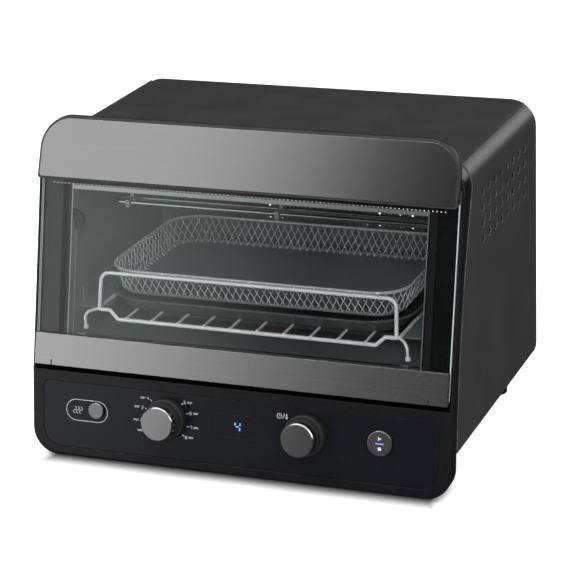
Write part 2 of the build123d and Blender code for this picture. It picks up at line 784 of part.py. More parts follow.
def door_switch_plunger():
    """Spring-loaded pin that the closed door holds in."""
    front = glass_y(SWITCH_Z, GLASS_BACK + 1.0)
    pin = rod_y(-SWITCH_HALF + 5, front, front + 16, SWITCH_Z, 1.8)
    return fillet(pin.edges().group_by(Axis.Y)[0], 0.8)


# ---------------------------------------------------------------- door
def door_glass():
    glass = leaning_slab(-DOOR_HALF, DOOR_HALF, GLASS_BOTTOM, GLASS_TOP, 0, GLASS_BACK)
    upright = [e for e in glass.edges() if abs(e.center().X) > DOOR_HALF - 1 and e.length > 100]
    glass = chamfer(upright, 0.5)
    for x, z in door_screw_places():
        glass -= square_to_glass(x, z, 2.4, -5, GLASS + 5)
    return glass


def door_screw_places():
    return [(x, 278.0) for x in (-150, -50, 50, 150)]


def square_to_glass(x, z, radius, front, back):
    """A cylinder through the glass, between two depths measured square to its front face."""
    angle = math.radians(GLASS_LEAN)
    outward = Vector(0, -math.cos(angle), math.sin(angle))
    plane = Plane(origin=Vector(x, glass_y(z), z) - outward * back, x_dir=(1, 0, 0), z_dir=outward)
    return extrude(plane * Circle(radius), amount=back - front)


def door_screws():
    """Pan-head screws through the top of the glass into the handle body."""
    screws = []
    for x, z in door_screw_places():
        head = square_to_glass(x, z, 4.2, GLASS, GLASS + 1.6)
        head = fillet(head.edges().group_by(Axis.Y)[-1], 0.7)
        screws.append(head + square_to_glass(x, z, 1.9, -4, GLASS))
    return group(screws)


def door_strip():
    """Brushed metal strip over the foot of the glass, turned back under its lower edge."""
    front_bottom = 8.7
    front_top = 16.8
    turned = GLASS_BOTTOM - 0.2
    outline = [
        (front_bottom, STRIP_BOTTOM),
        (front_top, STRIP_TOP),
        (glass_y(STRIP_TOP, -0.05), STRIP_TOP),
        (glass_y(turned, -0.05), turned),
        (17.0, turned),
        (17.0, STRIP_BOTTOM + 0.3),
    ]
    strip = side_slab(outline, -DOOR_HALF - 0.3, DOOR_HALF + 0.3)
    ends = [
        e
        for e in strip.edges()
        if abs(e.center().X) > DOOR_HALF and e.center().Y < front_top and e.length > 20
    ]
    strip = fillet(ends, 1.2)
    for side in LEFT_AND_RIGHT:
        slit_x = side * (DOOR_HALF - 18)
        strip -= box((slit_x - 0.5, slit_x + 0.5), (0, 12.5), (STRIP_BOTTOM - 1, STRIP_BOTTOM + 5))
    return strip


def door_lower_rail():
    """Inner rail behind the foot of the glass, with a tab beside each rack hook."""
    half = ARM_X[0] - 0.2
    rail = leaning_slab(-half, half, 99, 111, GLASS_BACK, GLASS_BACK + 1.5)
    for side in LEFT_AND_RIGHT:
        tab_x = side * HOOK_X
        tab = leaning_slab(tab_x - 4, tab_x + 4, 108, 124, GLASS_BACK, GLASS_BACK + 1.0)
        rail += tab
    return rail


def handle_outline(margin):
    """Front view of the handle plate, seen square on to the oven."""
    half = DOOR_HALF + 0.5 - margin
    low = PLATE_BOTTOM - 2.5 + margin
    high = PLATE_TOP + 2 - margin
    return front_outline(half, low, high, 30 - margin, 3)


def handle_body():
    """Black moulded backing: it carries the plate, lies on the glass and forms the grip."""
    grip = 4.5
    outline = [
        (plate_y(260, 1.2), 260),
        (plate_y(340, 1.2), 340),
        (plate_y(340, 1.2 + grip), 340),
        (plate_y(GLASS_TOP + 1, 1.2 + grip + 1), GLASS_TOP + 1),
        (glass_y(GLASS_TOP + 1, -0.1), GLASS_TOP + 1),
        (glass_y(260, -0.1), 260),
    ]
    body = side_slab(outline, -FAR, FAR) & front_prism(handle_outline(0), -50, 200)
    for x, z in door_screw_places():
        body -= square_to_glass(x, z, 1.95, -4.2, GLASS)
    return body


def handle_plate():
    """Brushed metal face plate of the handle, with eased edges."""
    outline = [
        (plate_y(260), 260),
        (plate_y(340), 340),
        (plate_y(340, 1.2), 340),
        (plate_y(260, 1.2), 260),
    ]
    return side_slab(outline, -FAR, FAR) & front_prism(handle_outline(2.2), -50, 200)


def door_seal():
    """Thin gasket on the inside of the glass, beside and above the opening."""
    outer = leaning_slab(-188, 188, 119, 270, GLASS_BACK, FACE_BEHIND_GLASS - 1.6)
    return outer - box((-181.5, 181.5), (0, 100), (100, 264))


# ---------------------------------------------------------------- rack, pan and basket
def wire_rack():
    """Chrome rack: stepped side frames, cross wires, a raised front bar and two hooks."""
    step_in = 131.0
    frame_points = [
        (-step_in + 8, RACK_FRONT, RACK_LEVEL),
        (-step_in, RACK_FRONT, RACK_LEVEL),
        (-step_in - 9, RACK_FRONT + 2, RAIL_LEVEL),
        (-RACK_HALF, RACK_FRONT + 2, RAIL_LEVEL),
        (-RACK_HALF, RACK_BACK, RAIL_LEVEL),
        (-step_in - 9, RACK_BACK, RAIL_LEVEL),
        (-step_in, RACK_BACK, RACK_LEVEL),
        (-step_in + 8, RACK_BACK, RACK_LEVEL),
    ]
    left_frame = wire(frame_points, RAIL_R, [2.5, 2.5, 5, 5, 2.5, 2.5])
    pieces = [left_frame, mirror(left_frame, about=Plane.YZ)]
    for y in (RACK_FRONT, RACK_BACK):
        pieces.append(rod_x(-step_in + 7, step_in - 7, y, RACK_LEVEL, RAIL_R))
    for column in range(CROSS_WIRES):
        x = (column - (CROSS_WIRES - 1) / 2) * CROSS_PITCH
        pieces.append(rod_y(x, RACK_FRONT - 2.5, RACK_BACK + 2.5, RACK_LEVEL + 2.6, CROSS_R))
    leg_x = 151.0
    guard_y = RACK_FRONT + 8
    guard = [
        (-leg_x, RACK_FRONT + 1, RAIL_LEVEL),
        (-leg_x + 1.5, guard_y, GUARD_TOP),
        (leg_x - 1.5, guard_y, GUARD_TOP),
        (leg_x, RACK_FRONT + 1, RAIL_LEVEL),
    ]
    pieces.append(wire(guard, GUARD_R, 9))
    hook = [
        (RACK_HALF - 1, RACK_FRONT + 4, RAIL_LEVEL + 0.2),
        (HOOK_X - 3, RACK_FRONT - 4, RAIL_LEVEL - 1),
        (HOOK_X, RACK_FRONT - 6, RAIL_LEVEL - 6),
        (HOOK_X, RACK_FRONT - 5, RAIL_LEVEL - 16),
    ]
    hook_wire = wire(hook, 1.5, 3)
    hook_wire += rod_z(HOOK_X, RACK_FRONT - 5, RAIL_LEVEL - 18, RAIL_LEVEL - 15, 2.6)
    pieces += [hook_wire, mirror(hook_wire, about=Plane.YZ)]
    return join(pieces)


def tapered_tub(half, y_low, y_high, z_low, z_high, corner, flare, sheet):
    """Open tub with rounded corners, its walls leaning out by flare at the top."""
    middle_y = (y_low + y_high) / 2
    depth = y_high - y_low
    angle = math.degrees(math.atan2(flare, z_high - z_low))

    def block(inset, z_start):
        base = RectangleRounded(2 * (half - inset), depth - 2 * inset, corner - inset)
        return extrude(Pos(0, middle_y, z_start) * base, amount=z_high - z_low, taper=-angle)

    return block(0, z_low) - block(sheet, z_low + sheet)


def baking_pan():
    """Enamelled pan with a narrow rolled rim; it stands on the rack."""
    corner = 36.0
    flare = 10.0
    wall_top = 152.0
    pan = tapered_tub(
        PAN_HALF, PAN_FRONT, PAN_BACK, PAN_BOTTOM, wall_top, corner, flare, PAN_SHEET
    )
    rim_half = PAN_HALF + flare + 1.5
    rim_depth = PAN_BACK - PAN_FRONT + 2 * flare + 3
    rim_width = 2.3
    rim = RectangleRounded(2 * rim_half, rim_depth, corner + flare + 1.5)
    rim -= RectangleRounded(
        2 * (rim_half - rim_width), rim_depth - 2 * rim_width, corner + flare + 1.5 - rim_width
    )
    return pan + extrude(Pos(0, (PAN_FRONT + PAN_BACK) / 2, wall_top - 0.8) * rim, amount=1.8)


def basket_mesh():
    """Woven wire walls and a smooth floor, modelled as a thin skin of their outer shape."""
    inset = BASKET_FLARE + 1.0
    return tapered_tub(
        BASKET_HALF - inset,
        BASKET_FRONT + inset,
        BASKET_BACK - inset,
        BASKET_FLOOR,
        BASKET_RIM - BASKET_RIM_R,
        BASKET_CORNER - BASKET_FLARE,
        BASKET_FLARE,
        BASKET_SKIN,
    )


def basket_rim():
    """Round rim wire that the mesh is wrapped on, and two bent wires that carry the floor."""
    outline = RectangleRounded(2 * BASKET_HALF, BASKET_BACK - BASKET_FRONT, BASKET_CORNER)
    path = (Pos(0, (BASKET_FRONT + BASKET_BACK) / 2, BASKET_RIM) * outline).wire()
    section = Plane(origin=path @ 0, z_dir=path % 0) * Circle(BASKET_RIM_R)
    leg_r = 1.5
    leg_foot = PAN_BOTTOM + PAN_SHEET + 0.1
    leg_top = BASKET_FLOOR - leg_r
    front, back = BASKET_FRONT + 50, BASKET_BACK - 40
    legs = []
    for x in (-100.0, 100.0):
        points = [
            (x, front, leg_foot),
            (x, front, leg_top),
            (x, back, leg_top),
            (x, back, leg_foot),
        ]
        legs.append(wire(points, leg_r, 4))
    return group([sweep(section, path=path)] + legs)


# ---------------------------------------------------------------- assembly and export
def make_nodes():
    return {
        "front_frame": front_frame(),
        "control_panel": control_panel(),
        "display_lens": display_lens(),
        "display_module": display_module(),
        "control_board": control_board(),
        "rotary_encoders": rotary_encoders(),
        "button_switches": button_switches(),
        "function_knob_skirt": knob_skirt(-KNOB_X),
        "function_knob_cap": knob_cap(-KNOB_X),
        "function_knob_shaft": knob_shaft(-KNOB_X),
        "time_knob_skirt": knob_skirt(KNOB_X),
        "time_knob_cap": knob_cap(KNOB_X),
        "time_knob_shaft": knob_shaft(KNOB_X),
        "steam_button": push_button(-BUTTON_X, STEAM_BUTTON_R),
        "start_button": push_button(BUTTON_X, START_BUTTON_R),
        "side_panel_left": side_panel(-1),
        "side_panel_right": side_panel(1),
        "top_panel": top_panel(),
        "rear_panel": rear_panel(),
        "rear_screws": rear_screws(),
        "cord_gland": cord_gland(),
        "base_pan": base_pan(),
        "feet": feet(),
        "foot_screws": foot_screws(),
        "cavity_flange": cavity_flange(),
        "cavity_wall_left": liner_side(-1),
        "cavity_wall_right": liner_side(1),
        "cavity_ceiling": cavity_ceiling(),
        "cavity_floor": cavity_floor(),
        "cavity_back": cavity_back(),
        "crumb_tray": crumb_tray(),
        "rack_guide_left": rack_guide(-1),
        "rack_guide_right": rack_guide(1),
        "upper_element": upper_element(),
        "lower_element": lower_element(),
        "element_clips": element_clips(),
        "element_terminals": element_terminals(),
        "temperature_probe": temperature_probe(),
        "fan_motor": fan_motor(),
        "convection_fan": convection_fan(),
        "power_board": power_board(),
        "hinge_brackets": hinge_brackets(),
        "hinge_pins": hinge_pins(),
        "hinge_arm_left": hinge_arm(-1),
        "hinge_arm_right": hinge_arm(1),
        "door_switch_body": door_switch_body(),
        "door_switch_plunger": door_switch_plunger(),
        "door_glass": door_glass(),
        "door_screws": door_screws(),
        "door_strip": door_strip(),
        "door_lower_rail": door_lower_rail(),
        "door_seal": door_seal(),
        "handle_body": handle_body(),
        "handle_plate": handle_plate(),
        "wire_rack": wire_rack(),
        "baking_pan": baking_pan(),
        "basket_mesh": basket_mesh(),
        "basket_rim": basket_rim(),
    }


def depth_centre(nodes):
    """Middle of the oven's footprint along Y."""
    boxes = [shape.bounding_box() for shape in nodes.values()]
    front = min(b.min.Y for b in boxes)
    back = max(b.max.Y for b in boxes)
    return (front + back) / 2


nodes = make_nodes()
shift = round(depth_centre(nodes), 2)
for name, shape in nodes.items():
    export_step(Pos(0, -shift, 0) * shape, os.path.join("parts", name + ".step"))
print("nodes", len(nodes), "moved forward by", shift)
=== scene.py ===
"""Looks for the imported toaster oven: procedural materials, woven basket, printed marks, studio.

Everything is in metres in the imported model's frame: X to the right, Y to the back, Z up.
Places and sizes come from the boxes of the CAD nodes and from the joints of the record.
"""

import json
import math

import bpy
from mathutils import Matrix, Vector


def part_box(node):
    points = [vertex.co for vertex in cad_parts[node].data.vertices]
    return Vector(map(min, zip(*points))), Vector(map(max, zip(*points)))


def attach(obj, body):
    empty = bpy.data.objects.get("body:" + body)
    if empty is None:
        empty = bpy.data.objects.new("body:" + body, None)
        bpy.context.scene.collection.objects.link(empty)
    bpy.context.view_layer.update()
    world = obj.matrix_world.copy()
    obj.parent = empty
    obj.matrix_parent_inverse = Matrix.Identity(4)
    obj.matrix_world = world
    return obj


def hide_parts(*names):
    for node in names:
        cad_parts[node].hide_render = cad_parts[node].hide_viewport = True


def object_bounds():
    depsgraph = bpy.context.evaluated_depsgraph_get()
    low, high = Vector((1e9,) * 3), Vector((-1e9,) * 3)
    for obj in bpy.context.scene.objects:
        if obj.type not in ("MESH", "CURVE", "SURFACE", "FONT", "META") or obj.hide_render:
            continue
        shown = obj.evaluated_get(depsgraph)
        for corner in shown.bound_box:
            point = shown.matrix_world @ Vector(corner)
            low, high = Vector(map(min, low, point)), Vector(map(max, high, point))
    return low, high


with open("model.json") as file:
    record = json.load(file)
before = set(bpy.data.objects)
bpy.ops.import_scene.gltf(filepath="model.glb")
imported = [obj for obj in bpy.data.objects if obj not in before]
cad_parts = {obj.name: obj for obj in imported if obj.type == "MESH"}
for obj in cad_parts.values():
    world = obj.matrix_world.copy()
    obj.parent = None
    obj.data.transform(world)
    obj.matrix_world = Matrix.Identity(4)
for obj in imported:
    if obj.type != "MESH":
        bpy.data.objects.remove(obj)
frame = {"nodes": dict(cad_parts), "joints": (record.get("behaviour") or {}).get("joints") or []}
cad_low, cad_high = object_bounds()
MM = 0.001

joints = {joint["name"]: joint for joint in frame["joints"]}

KNOB_X = joints["time_knob_turn"]["pos_m"][0]
PANEL_FACE = -0.3 * MM       # the panel and the lens sit this far below the control face
BUTTON_FACE = 2.5 * MM       # a button's face stands this far out of the control face
LINE = 0.45 * MM             # width of a printed line
GLASS_LEAN = 13.7            # degrees from the vertical


# ---------------------------------------------------------------- material toolkit
class Look:
    """A material in the making: a principled shader, and nodes that feed its sockets."""

    def __init__(self, name, color, roughness, metallic=0.0, **sockets):
        self.material = bpy.data.materials.new(name)
        self.material.use_nodes = True
        self.tree = self.material.node_tree
        self.shader = self.tree.nodes["Principled BSDF"]
        self.color = color
        self.roughness = roughness
        self.place = self.add("ShaderNodeTexCoord").outputs["Object"]
        self.shader.inputs["Base Color"].default_value = (*color, 1)
        self.shader.inputs["Roughness"].default_value = roughness
        self.shader.inputs["Metallic"].default_value = metallic
        for socket, value in sockets.items():
            self.shader.inputs[socket.replace("_", " ")].default_value = value

    def add(self, kind, inputs=None, **settings):
        node = self.tree.nodes.new(kind)
        for key, value in settings.items():
            setattr(node, key, value)
        for key, value in (inputs or {}).items():
            self.feed(node.inputs[key], value)
        return node

    def feed(self, socket, value):
        """Links a socket to another node's output, or sets it to a plain value."""
        if isinstance(value, bpy.types.NodeSocket):
            self.tree.links.new(value, socket)
        else:
            socket.default_value = value

    def math(self, operation, first, second=0.0):
        return self.add("ShaderNodeMath", {0: first, 1: second}, operation=operation).outputs[0]

    def stretched(self, scale):
        """The object's coordinates, scaled by a different factor along each axis."""
        return self.add("ShaderNodeMapping", {"Vector": self.place, "Scale": scale}).outputs[0]

    def noise(self, size, detail=3.0, along=None):
        """Noise with features of about this size in metres; along makes one axis longer."""
        scale = [1 / size] * 3
        if along:
            axis, length = along
            scale["XYZ".index(axis)] = 1 / length
        return self.add(
            "ShaderNodeTexNoise", {"Vector": self.stretched(scale), "Scale": 1.0, "Detail": detail}
        ).outputs["Fac"]

    def spread(self, factor, low, high, start=0.3, end=0.7):
        """Maps a factor's middle part onto the range from low to high."""
        return self.add(
            "ShaderNodeMapRange",
            {"Value": factor, "From Min": start, "From Max": end, "To Min": low, "To Max": high},
        ).outputs["Result"]

    def mix(self, factor, first, second):
        """Mixes two colours, each a socket or a plain (red, green, blue)."""
        node = self.add("ShaderNodeMix", data_type="RGBA")
        self.feed(node.inputs[0], factor)
        for socket, value in ((node.inputs[6], first), (node.inputs[7], second)):
            self.feed(socket, value if isinstance(value, bpy.types.NodeSocket) else (*value, 1))
        return node.outputs[2]

    def shade(self, factor, amount):
        """The base colour, darker and lighter by this share as the factor varies."""
        dark = [c * (1 - amount) for c in self.color]
        light = [min(1, c * (1 + amount)) for c in self.color]
        return self.mix(self.spread(factor, 0, 1), dark, light)

    def edges(self, radius):
        """The rounded normal and a mask that is 1 on edges sharper than the radius."""
        rounded = self.add("ShaderNodeBevel", {"Radius": radius}, samples=4).outputs[0]
        flat = self.add("ShaderNodeNewGeometry").outputs["Normal"]
        dot = self.add("ShaderNodeVectorMath", {0: rounded, 1: flat}, operation="DOT_PRODUCT")
        return rounded, self.spread(dot.outputs["Value"], 1, 0, 0.75, 0.98)

    def bump(self, height, depth, normal=None):
        """Relief of this depth in metres, on top of an earlier normal."""
        inputs = {"Height": height, "Distance": depth, "Strength": 1.0}
        if normal is not None:
            inputs["Normal"] = normal
        return self.add("ShaderNodeBump", inputs).outputs["Normal"]

    def finish(self, color=None, roughness=None, normal=None):
        for name, value in (("Base Color", color), ("Roughness", roughness), ("Normal", normal)):
            if value is not None:
                self.feed(self.shader.inputs[name], value)
        return self.material


def varied(name, color, roughness, metallic=0.0, grain=0.4 * MM, relief=4e-6, edge_tone=None, **sockets):
    """Moulded, painted or plated surface: cloudy tone, fine relief and lighter edges, from abrasion
    on most parts and a painted highlight on the casing.
    """
    look = Look(name, color, roughness, metallic, **sockets)
    cloud = look.noise(45 * MM, 4)
    fine = look.noise(grain, 2)
    tone = look.shade(cloud, 0.10)
    normal, edge = look.edges(0.5 * MM)
    # lighter edges in patches: abrasion on most parts, and on the casing, whose edge colour is far
    # lighter than its paint, a painted highlight on vent lips and panel edges
    if edge_tone:
        rubbed_and_highlit = look.math("MULTIPLY", edge, look.spread(look.noise(9 * MM), 0.1, 0.7))
        tone = look.mix(rubbed_and_highlit, tone, edge_tone)
    patchy = look.spread(cloud, roughness * 0.88, roughness * 1.12)
    rough = look.math("ADD", patchy, look.spread(fine, -0.03, 0.03))
    return look.finish(tone, rough, look.bump(fine, relief, normal))


def brushed(name, color, roughness, axis="X", metallic=1.0, relief=3e-6, streaks=0.16, edge_tone=0.75):
    """Metal with fine parallel scratches along one axis."""
    look = Look(name, color, roughness, metallic)
    hair = look.noise(0.16 * MM, 3, (axis, 28 * MM))
    band = look.noise(1.3 * MM, 2, (axis, 120 * MM))
    lines = look.math("MULTIPLY", look.math("ADD", hair, band), 0.5)
    normal, edge = look.edges(0.4 * MM)
    tone = look.mix(look.math("MULTIPLY", edge, 0.6), look.shade(lines, streaks), (edge_tone, edge_tone, edge_tone))
    rough = look.spread(lines, roughness * (1 - streaks), roughness * (1 + streaks))
    return look.finish(tone, rough, look.bump(lines, relief, normal))


def turned(name, color, roughness, centre, axis, relief=8e-7):
    """Metal face with circular turning marks round an axis."""
    look = Look(name, color, roughness, 1.0)
    arm = look.add("ShaderNodeVectorMath", {0: look.place, 1: centre}, operation="SUBTRACT")
    across = look.add("ShaderNodeVectorMath", {0: arm.outputs[0], 1: axis}, operation="CROSS_PRODUCT")
    length = look.add("ShaderNodeVectorMath", {0: across.outputs[0]}, operation="LENGTH")
    radius = length.outputs["Value"]
    rings = look.add(
        "ShaderNodeTexNoise",
        {"W": look.math("MULTIPLY", radius, 1 / (0.16 * MM)), "Scale": 1.0, "Detail": 2.0},
        noise_dimensions="1D",
    ).outputs["Fac"]
    normal, edge = look.edges(0.4 * MM)
    tone = look.mix(look.math("MULTIPLY", edge, 0.6), look.shade(rings, 0.05), (0.6, 0.6, 0.6))
    rough = look.spread(rings, roughness * 0.92, roughness * 1.08)
    return look.finish(tone, rough, look.bump(rings, relief, normal))


# ---------------------------------------------------------------- materials of the oven
def casing_paint():
    # painted highlight: this light edge colour stands in for the highlights on the vent lips and
    # panel edges
    edge_colour = (0.55, 0.55, 0.55)
    color = (0.037, 0.037, 0.038)
    return varied("casing_paint", color, 0.34, 0.25, grain=0.9 * MM, relief=6e-6, edge_tone=edge_colour)


def fascia_plastic():
    edge_colour = (0.06, 0.06, 0.065)
    color = (0.004, 0.004, 0.0045)
    sheen = 0.26
    return varied(
        "fascia_plastic", color, 0.27, grain=0.5 * MM, edge_tone=edge_colour, Specular_IOR_Level=sheen
    )


def panel_gloss():
    color = (0.003, 0.0035, 0.005)
    sheen = 0.33
    return varied("panel_gloss", color, 0.24, grain=0.7 * MM, relief=1e-6, Specular_IOR_Level=sheen)


def handle_plastic():
    edge_colour = (0.05, 0.05, 0.05)
    color = (0.012, 0.012, 0.013)
    return varied("handle_plastic", color, 0.42, grain=0.35 * MM, relief=8e-6, edge_tone=edge_colour)


def front_steel(name, tone, roughness):
    """Fine brushed stainless, its hairlines across the oven."""
    color = (tone, tone, tone * 1.01)
    return brushed(name, color, roughness, relief=6e-7, streaks=0.04, edge_tone=0.09)


def flange_steel():
    return brushed("flange_steel", (0.60, 0.61, 0.60), 0.30, metallic=0.85, relief=5e-6)


def liner_steel():
    """Coated cavity sheet: a soft mottled sheen with faint upright rolling marks."""
    look = Look("liner_steel", (0.19, 0.205, 0.205), 0.42, 0.4)
    mottle = look.noise(14 * MM, 5)
    rolled = look.noise(0.5 * MM, 2, ("Y", 60 * MM))
    normal, edge = look.edges(0.5 * MM)
    tone = look.mix(look.math("MULTIPLY", edge, 0.5), look.shade(mottle, 0.14), (0.6, 0.6, 0.6))
    rough = look.math("ADD", look.spread(mottle, 0.34, 0.48), look.spread(rolled, -0.03, 0.03))
    return look.finish(tone, rough, look.bump(rolled, 4e-6, normal))


def chrome_wire():
    """Bright plating with tiny pits and slightly dull patches."""
    look = Look("chrome_wire", (0.96, 0.965, 0.965), 0.18, 0.45)
    patch = look.noise(5 * MM, 4)
    pit = look.noise(0.25 * MM, 2)
    rough = look.spread(patch, 0.12, 0.26)
    return look.finish(look.shade(patch, 0.08), rough, look.bump(pit, 3e-6))


def basket_wire():
    """Drawn stainless wire of the basket, a little greyer than the plating."""
    look = Look("basket_wire", (0.90, 0.905, 0.90), 0.22, 0.62)
    patch = look.noise(7 * MM, 4)
    drawn = look.noise(0.2 * MM, 2)
    rough = look.spread(patch, 0.16, 0.30)
    return look.finish(look.shade(patch, 0.12), rough, look.bump(drawn, 4e-6))


def basket_sheet():
    """Satin sheet of the basket's floor."""
    look = Look("basket_sheet", (0.17, 0.185, 0.185), 0.5, 0.3)
    cloud = look.noise(18 * MM, 4)
    rolled = look.noise(0.3 * MM, 2, ("X", 30 * MM))
    rough = look.spread(cloud, 0.44, 0.58)
    return look.finish(look.shade(cloud, 0.12), rough, look.bump(rolled, 3e-6))


def pan_coating():
    """Dark non-stick coating with fine lighter flecks."""
    color = (0.085, 0.09, 0.092)
    look = Look("pan_coating", color, 0.30, 0.45, Coat_Weight=0.25, Coat_Roughness=0.2)
    fleck = look.spread(look.noise(0.8 * MM, 1), 0, 1, 0.66, 0.72)
    cloud = look.noise(22 * MM, 4)
    normal, edge = look.edges(0.5 * MM)
    tone = look.mix(look.math("MULTIPLY", fleck, 0.5), look.shade(cloud, 0.12), (0.26, 0.26, 0.26))
    tone = look.mix(look.math("MULTIPLY", edge, 0.7), tone, (0.6, 0.61, 0.61))
    sprayed = look.noise(0.6 * MM, 2)
    rough = look.spread(cloud, 0.24, 0.36)
    return look.finish(tone, rough, look.bump(sprayed, 5e-6, normal))


def element_tube(name, color, metallic, tint):
    """Steel tube of a heater, with faint straw and blue heat tints along its length."""
    look = Look(name, color, 0.28, metallic)
    heat = look.noise(20 * MM, 3)
    scale = look.noise(0.4 * MM, 3)
    straw = [c * share for c, share in zip(color, (1.0, 0.88, 0.66))]
    blue = [c * share for c, share in zip(color, (0.6, 0.66, 0.8))]
    tinted = look.mix(look.spread(heat, 0, tint, 0.35, 0.6), look.color, straw)
    tinted = look.mix(look.spread(heat, 0, tint, 0.6, 0.75), tinted, blue)
    return look.finish(tinted, look.spread(scale, 0.12, 0.24), look.bump(scale, 4e-6))


def door_glass():
    """Clear thin glass whose sawn side edges are brighter than its faces."""
    low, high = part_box("door_glass")
    look = Look("door_glass", (0.30, 0.33, 0.33), 0.12)
    smear = look.noise(40 * MM, 3)
    split = look.add("ShaderNodeSeparateXYZ", {0: look.place})
    across = look.math("ABSOLUTE", split.outputs["X"])
    rim = look.spread(across, 0, 1, high.x - 0.7 * MM, high.x - 0.5 * MM)
    look.finish(look.shade(smear, 0.05), look.spread(smear, 0.10, 0.16), look.bump(smear, 2e-6))
    clear = look.add("ShaderNodeBsdfTransparent", {"Color": (0.885, 0.90, 0.90, 1)}).outputs[0]
    polish = look.spread(smear, 0.01, 0.03)
    mirror = look.add("ShaderNodeBsdfGlossy", {"Roughness": polish}).outputs[0]
    fresnel = look.add("ShaderNodeFresnel", {"IOR": 1.5}).outputs[0]
    face = look.add("ShaderNodeMixShader", {0: fresnel, 1: clear, 2: mirror}).outputs[0]
    whole = look.add("ShaderNodeMixShader", {0: rim, 1: face, 2: look.shader.outputs[0]}).outputs[0]
    look.tree.links.new(whole, look.tree.nodes["Material Output"].inputs["Surface"])
    return look.material


def rubber():
    edge_colour = (0.05, 0.05, 0.05)
    color = (0.007, 0.007, 0.0075)
    return varied("rubber", color, 0.62, grain=0.3 * MM, relief=1.5e-5, edge_tone=edge_colour)


def zinc_plate():
    """Zinc-plated steel with its pale crystal spangle."""
    look = Look("zinc_plate", (0.50, 0.51, 0.53), 0.38, 1.0)
    cells = look.add("ShaderNodeTexVoronoi", {"Vector": look.place, "Scale": 160.0}).outputs["Color"]
    spangle = look.add("ShaderNodeRGBToBW", {0: cells}).outputs[0]
    normal, edge = look.edges(0.4 * MM)
    tone = look.mix(look.math("MULTIPLY", edge, 0.4), look.shade(spangle, 0.12), (0.7, 0.7, 0.7))
    fine = look.noise(0.5 * MM, 2)
    rough = look.spread(spangle, 0.3, 0.46, 0.1, 0.9)
    return look.finish(tone, rough, look.bump(fine, 5e-6, normal))


def ceramic_body():
    edge_colour = (0.6, 0.55, 0.48)
    color = (0.78, 0.75, 0.68)
    return varied("ceramic_body", color, 0.6, grain=0.4 * MM, relief=1.5e-5, edge_tone=edge_colour)


def board_laminate():
    """Green board with fine copper tracks showing through the lacquer."""
    look = Look("board_laminate", (0.02, 0.11, 0.05), 0.35, Coat_Weight=0.3)
    black, white = (0, 0, 0, 1), (1, 1, 1, 1)
    brick = look.add(
        "ShaderNodeTexBrick",
        {
            "Vector": look.place,
            "Scale": 160.0,
            "Mortar Size": 0.012,
            "Color1": black,
            "Color2": black,
            "Mortar": white,
        },
    ).outputs["Color"]
    track = look.add("ShaderNodeRGBToBW", {0: brick}).outputs[0]
    cloud = look.noise(8 * MM, 3)
    tone = look.mix(look.math("MULTIPLY", track, 0.5), look.shade(cloud, 0.15), (0.12, 0.24, 0.08))
    return look.finish(tone, look.spread(cloud, 0.3, 0.42), look.bump(track, 2e-5))


def black_component():
    edge_colour = (0.06, 0.06, 0.06)
    color = (0.02, 0.02, 0.02)
    return varied("black_component", color, 0.5, grain=0.35 * MM, relief=1e-5, edge_tone=edge_colour)


def printed_ink(name, tone):
    """Screen-printed pale ink, slightly uneven."""
    return varied(name, (tone, tone * 1.02, tone * 1.06), 0.5, grain=0.12 * MM, relief=2e-6)


def lit_segment():
    """Glowing blue-white segment with a slightly cooler rim."""
    look = Look("lit_segment", (0.02, 0.05, 0.12), 0.4)
    cloud = look.spread(look.noise(1.2 * MM, 2), 0, 1)
    glow = look.mix(cloud, (0.16, 0.36, 0.85), (0.30, 0.52, 1.0))
    look.feed(look.shader.inputs["Emission Color"], glow)
    look.shader.inputs["Emission Strength"].default_value = 0.75
    return look.finish()


def dress(material, *nodes):
    """Gives a material to carried-over CAD nodes."""
    for name in nodes:
        piece = frame["nodes"][name]
        for slot in piece.material_slots:
            slot.material = material


def control_axis(joint_name):
    joint = joints[joint_name]
    return Vector(joint["pos_m"]), Vector(joint["axis"]).normalized()


def button_centre(node):
    low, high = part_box(node)
    return (low + high) / 2


